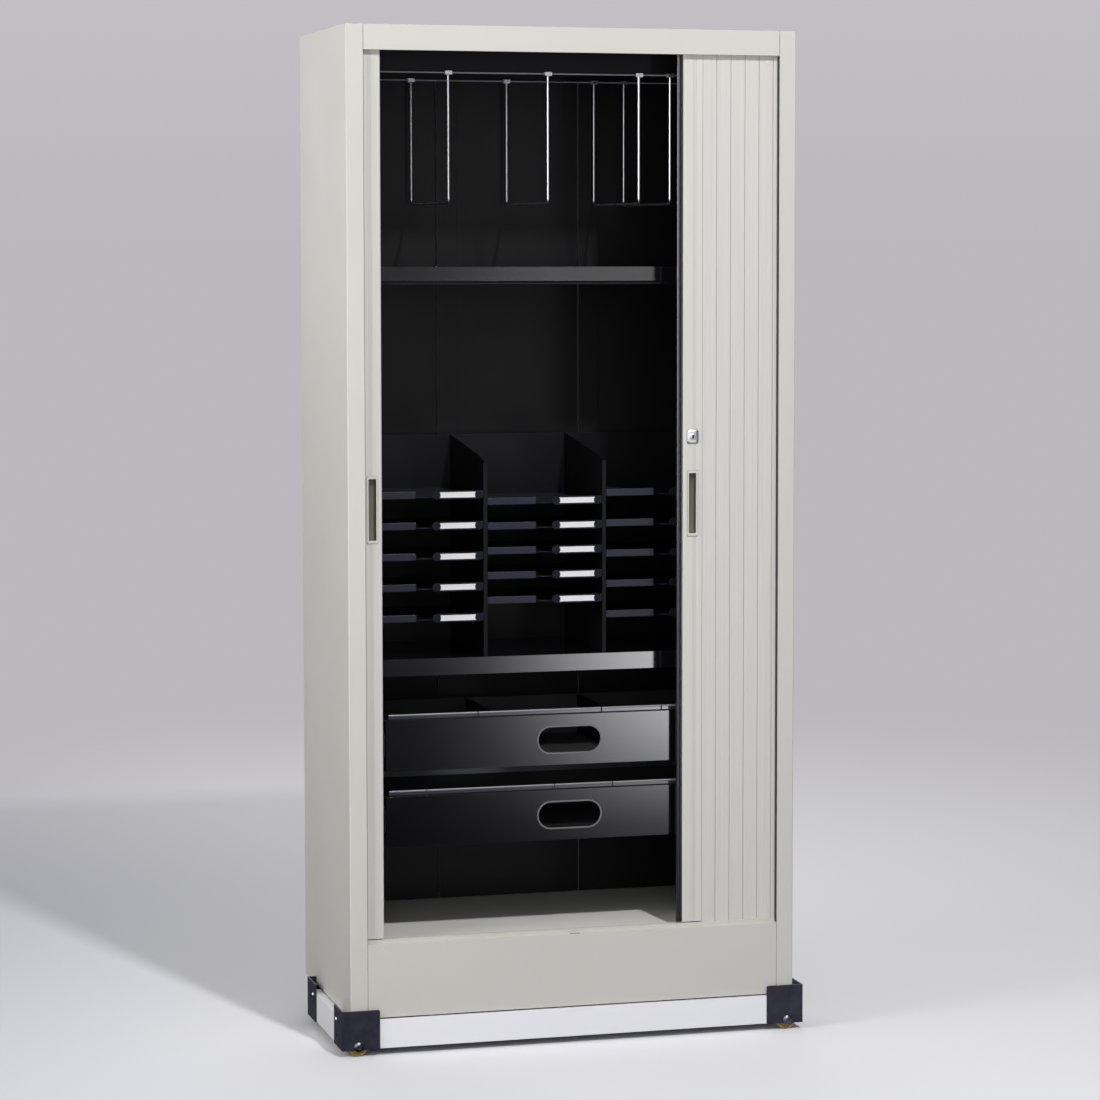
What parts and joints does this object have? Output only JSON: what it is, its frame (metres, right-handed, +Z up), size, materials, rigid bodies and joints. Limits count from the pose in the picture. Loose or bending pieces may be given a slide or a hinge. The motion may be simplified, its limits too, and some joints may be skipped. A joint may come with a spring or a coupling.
{
  "type": "tambour door cabinet",
  "caption": "Tall steel office cabinet with two sideways tambour doors, shelves, a letter sorter and drawers inside, standing on a wheeled carriage.",
  "frame": {"origin": "centre of the bounding box at the floor, where the wheels stand", "axes": "+Z up, the doors face -Y, +X to the right as seen from the front"},
  "size_m": [0.952, 0.471, 2.011],
  "materials": {
    "body_paint": "satin light grey paint",
    "inner_paint": "satin charcoal paint",
    "floor_paint": "satin light grey paint",
    "drawer_paint": "satin charcoal paint",
    "sorter_paint": "satin charcoal paint",
    "slats": "satin light grey plastic",
    "rail": "coated light grey",
    "track": "satin light grey paint",
    "gasket": "black",
    "black_plastic": "black",
    "pull_plastic": "satin light grey",
    "trim_plastic": "light grey",
    "wire": "drawn wire",
    "runner_steel": "zinc plated",
    "chrome": "polished",
    "bracket_paint": "satin black",
    "beam": "light coated extrusion",
    "bolt": "black oxide",
    "wheel": "tan nylon"
  },
  "bodies": {
    "cabinet": {"left_side": "body_paint", "right_side": "body_paint", "back_panel": "body_paint", "top_panel": "body_paint", "ceiling": "inner_paint", "header": "body_paint", "kick_panel": "body_paint", "base_panel": "body_paint", "floor_pan": "floor_paint", "plinth_channels": "body_paint", "left_liner": "inner_paint", "right_liner": "inner_paint", "shelf_standards": "inner_paint", "bottom_track": "track", "top_track": "track", "strike_insert": "black_plastic", "upper_shelf": "inner_paint", "lower_shelf": "inner_paint", "shelf_brackets": "inner_paint", "file_rails": "inner_paint", "divider_rails": "runner_steel", "sorter_uprights": "sorter_paint", "sorter_back": "sorter_paint", "trays_left": "sorter_paint", "trays_middle": "sorter_paint", "trays_right": "sorter_paint", "label_holders": "black_plastic", "runner_mounts": "inner_paint", "runner_channels": "runner_steel", "carriage_beams": "beam", "rest_strips": "gasket", "corner_brackets": "bracket_paint", "axle_bolts": "bolt"},
    "left_door": {"left_lead_rail": "rail", "left_pull": "pull_plastic", "left_guides": "black_plastic", "left_curtain": "slats"},
    "right_door": {"right_lead_rail": "rail", "right_gasket": "gasket", "right_pull": "pull_plastic", "right_guides": "black_plastic", "right_curtain": "slats", "lock_housing": "chrome"},
    "lock": {"lock_cylinder": "chrome"},
    "upper_drawer": {"upper_drawer": "drawer_paint", "upper_drawer_partitions": "drawer_paint", "upper_drawer_sliders": "runner_steel", "upper_hole_trim": "trim_plastic"},
    "lower_drawer": {"lower_drawer": "drawer_paint", "lower_file_frame": "runner_steel", "lower_drawer_sliders": "runner_steel", "lower_hole_trim": "trim_plastic"},
    "divider_1": {"divider_1": "wire"},
    "divider_2": {"divider_2": "wire"},
    "divider_3": {"divider_3": "wire"},
    "divider_4": {"divider_4": "wire"},
    "wheel_front_left": {"wheel_front_left": "wheel"},
    "wheel_front_right": {"wheel_front_right": "wheel"},
    "wheel_rear_left": {"wheel_rear_left": "wheel"},
    "wheel_rear_right": {"wheel_rear_right": "wheel"}
  },
  "joints": [
    {"name": "left_door_slide", "type": "slide", "parent": "cabinet", "child": "left_door", "axis": [1, 0, 0], "range_m": [0, 0.3857], "deforming": ["left_curtain"]},
    {"name": "right_door_slide", "type": "slide", "parent": "cabinet", "child": "right_door", "axis": [1, 0, 0], "range_m": [-0.2143, 0.1602], "deforming": ["right_curtain"]},
    {"name": "lock_turn", "type": "hinge", "parent": "right_door", "child": "lock", "pos_m": [0.24615, -0.2095, 1.206], "axis": [0, 1, 0], "range_deg": [0, 90]},
    {"name": "upper_drawer_slide", "type": "slide", "parent": "cabinet", "child": "upper_drawer", "axis": [0, -1, 0], "range_m": [0, 0.013]},
    {"name": "lower_drawer_slide", "type": "slide", "parent": "cabinet", "child": "lower_drawer", "axis": [0, -1, 0], "range_m": [0, 0.013]},
    {"name": "divider_1_slide", "type": "slide", "parent": "cabinet", "child": "divider_1", "axis": [1, 0, 0], "range_m": [-0.17, 0.15]},
    {"name": "divider_2_slide", "type": "slide", "parent": "cabinet", "child": "divider_2", "axis": [1, 0, 0], "range_m": [-0.17, 0.17]},
    {"name": "divider_3_slide", "type": "slide", "parent": "cabinet", "child": "divider_3", "axis": [1, 0, 0], "range_m": [-0.165, 0.045]},
    {"name": "divider_4_slide", "type": "slide", "parent": "cabinet", "child": "divider_4", "axis": [1, 0, 0], "range_m": [-0.045, 0.18]},
    {"name": "wheel_front_left_spin", "type": "hinge", "parent": "cabinet", "child": "wheel_front_left", "pos_m": [-0.443, -0.216, 0.02], "axis": [0, 1, 0], "continuous": true},
    {"name": "wheel_rear_left_spin", "type": "hinge", "parent": "cabinet", "child": "wheel_rear_left", "pos_m": [-0.443, 0.107, 0.02], "axis": [0, 1, 0], "continuous": true},
    {"name": "wheel_front_right_spin", "type": "hinge", "parent": "cabinet", "child": "wheel_front_right", "pos_m": [0.443, -0.216, 0.02], "axis": [0, 1, 0], "continuous": true},
    {"name": "wheel_rear_right_spin", "type": "hinge", "parent": "cabinet", "child": "wheel_rear_right", "pos_m": [0.443, 0.107, 0.02], "axis": [0, 1, 0], "continuous": true}
  ]
}
